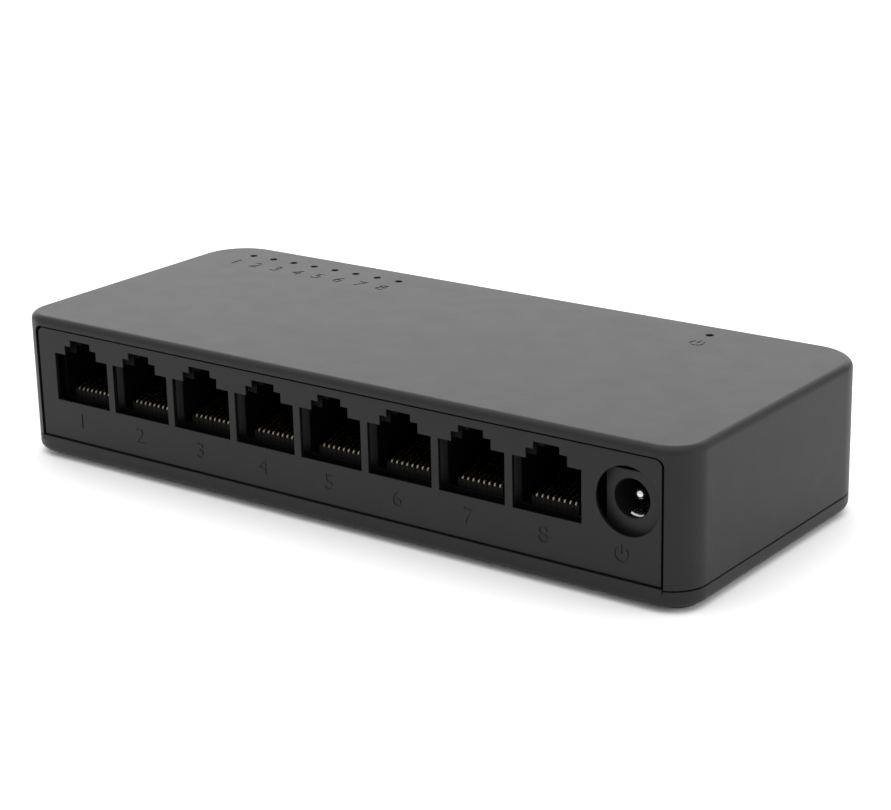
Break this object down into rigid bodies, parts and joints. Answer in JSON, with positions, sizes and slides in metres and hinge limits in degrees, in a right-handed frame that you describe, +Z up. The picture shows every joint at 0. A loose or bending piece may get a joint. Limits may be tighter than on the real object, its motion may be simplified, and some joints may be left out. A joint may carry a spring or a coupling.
{
  "type": "desktop network switch",
  "caption": "Low black plastic box with a row of stepped modular network sockets and a barrel power inlet in its inset front panel.",
  "frame": {"origin": "on the table, under the middle of the case", "axes": "+X to the right along the row of sockets, -Y out of the sockets, +Z up"},
  "size_m": [0.1372, 0.0584, 0.026],
  "materials": {
    "case_plastic": "fine matte texture, moulded black ABS",
    "foot_rubber": "matte",
    "socket_plastic": "semi-matte, glass-filled black nylon",
    "shroud_plastic": "matte",
    "gold_plated_contacts": "bright gold-plated phosphor bronze",
    "tinned_pin": "bright nickel plate",
    "spring_metal": "bright nickel plate",
    "circuit_board": "green solder resist on glass-epoxy",
    "screw_steel": "zinc plate",
    "lamp": "clear green-tinted epoxy",
    "chip_moulding": "matte epoxy moulding",
    "crystal_can": "drawn nickel silver",
    "capacitor_can": "satin",
    "ferrite": "matte sintered ferrite",
    "resistor_ceramic": "matte",
    "capacitor_ceramic": "matte ceramic"
  },
  "bodies": {
    "case": {"top_cover": "case_plastic", "base_tray": "case_plastic", "foot_front_left": "foot_rubber", "foot_front_right": "foot_rubber", "foot_rear_left": "foot_rubber", "foot_rear_right": "foot_rubber", "front_panel": "case_plastic", "circuit_board": "circuit_board", "case_screws": "screw_steel", "board_screws": "screw_steel", "port_housing": "socket_plastic", "power_jack_housing": "socket_plastic", "power_jack_centre_pin": "tinned_pin", "power_jack_sleeve_terminal": "spring_metal", "power_lamp": "lamp", "port_lamp_shroud": "shroud_plastic", "power_lamp_shroud": "shroud_plastic", "switch_chip": "chip_moulding", "memory_chip": "chip_moulding", "regulator_chip": "chip_moulding", "line_transformer_1": "chip_moulding", "line_transformer_2": "chip_moulding", "line_transformer_3": "chip_moulding", "line_transformer_4": "chip_moulding", "clock_crystal": "crystal_can", "input_capacitor": "capacitor_can", "output_capacitor": "capacitor_can", "power_inductor": "ferrite", "input_diode": "chip_moulding", "chip_resistors": "resistor_ceramic", "chip_capacitors": "capacitor_ceramic", "port_1_contact_leads": "gold_plated_contacts", "port_1_lamp": "lamp", "port_2_contact_leads": "gold_plated_contacts", "port_2_lamp": "lamp", "port_3_contact_leads": "gold_plated_contacts", "port_3_lamp": "lamp", "port_4_contact_leads": "gold_plated_contacts", "port_4_lamp": "lamp", "port_5_contact_leads": "gold_plated_contacts", "port_5_lamp": "lamp", "port_6_contact_leads": "gold_plated_contacts", "port_6_lamp": "lamp", "port_7_contact_leads": "gold_plated_contacts", "port_7_lamp": "lamp", "port_8_contact_leads": "gold_plated_contacts", "port_8_lamp": "lamp"},
    "port_1_springs": {"port_1_spring_contacts": "gold_plated_contacts"},
    "port_2_springs": {"port_2_spring_contacts": "gold_plated_contacts"},
    "port_3_springs": {"port_3_spring_contacts": "gold_plated_contacts"},
    "port_4_springs": {"port_4_spring_contacts": "gold_plated_contacts"},
    "port_5_springs": {"port_5_spring_contacts": "gold_plated_contacts"},
    "port_6_springs": {"port_6_spring_contacts": "gold_plated_contacts"},
    "port_7_springs": {"port_7_spring_contacts": "gold_plated_contacts"},
    "port_8_springs": {"port_8_spring_contacts": "gold_plated_contacts"},
    "power_jack_leaf": {"power_jack_spring_leaf": "spring_metal"}
  },
  "joints": [
    {"name": "port_1_contact_flex", "type": "hinge", "parent": "case", "child": "port_1_springs", "pos_m": [-0.05392, -0.02555, 0.0127], "axis": [-1, 0, 0], "range_deg": [0, 8], "stiffness_Nm_per_rad": 0.3},
    {"name": "port_2_contact_flex", "type": "hinge", "parent": "case", "child": "port_2_springs", "pos_m": [-0.03995, -0.02555, 0.0127], "axis": [-1, 0, 0], "range_deg": [0, 8], "stiffness_Nm_per_rad": 0.3},
    {"name": "port_3_contact_flex", "type": "hinge", "parent": "case", "child": "port_3_springs", "pos_m": [-0.02598, -0.02555, 0.0127], "axis": [-1, 0, 0], "range_deg": [0, 8], "stiffness_Nm_per_rad": 0.3},
    {"name": "port_4_contact_flex", "type": "hinge", "parent": "case", "child": "port_4_springs", "pos_m": [-0.01201, -0.02555, 0.0127], "axis": [-1, 0, 0], "range_deg": [0, 8], "stiffness_Nm_per_rad": 0.3},
    {"name": "port_5_contact_flex", "type": "hinge", "parent": "case", "child": "port_5_springs", "pos_m": [0.00196, -0.02555, 0.0127], "axis": [-1, 0, 0], "range_deg": [0, 8], "stiffness_Nm_per_rad": 0.3},
    {"name": "port_6_contact_flex", "type": "hinge", "parent": "case", "child": "port_6_springs", "pos_m": [0.01593, -0.02555, 0.0127], "axis": [-1, 0, 0], "range_deg": [0, 8], "stiffness_Nm_per_rad": 0.3},
    {"name": "port_7_contact_flex", "type": "hinge", "parent": "case", "child": "port_7_springs", "pos_m": [0.0299, -0.02555, 0.0127], "axis": [-1, 0, 0], "range_deg": [0, 8], "stiffness_Nm_per_rad": 0.3},
    {"name": "port_8_contact_flex", "type": "hinge", "parent": "case", "child": "port_8_springs", "pos_m": [0.04387, -0.02555, 0.0127], "axis": [-1, 0, 0], "range_deg": [0, 8], "stiffness_Nm_per_rad": 0.3},
    {"name": "power_leaf_flex", "type": "hinge", "parent": "case", "child": "power_jack_leaf", "pos_m": [0.05795, -0.019, 0.0131], "axis": [1, 0, 0], "range_deg": [0, 8], "stiffness_Nm_per_rad": 0.1}
  ]
}
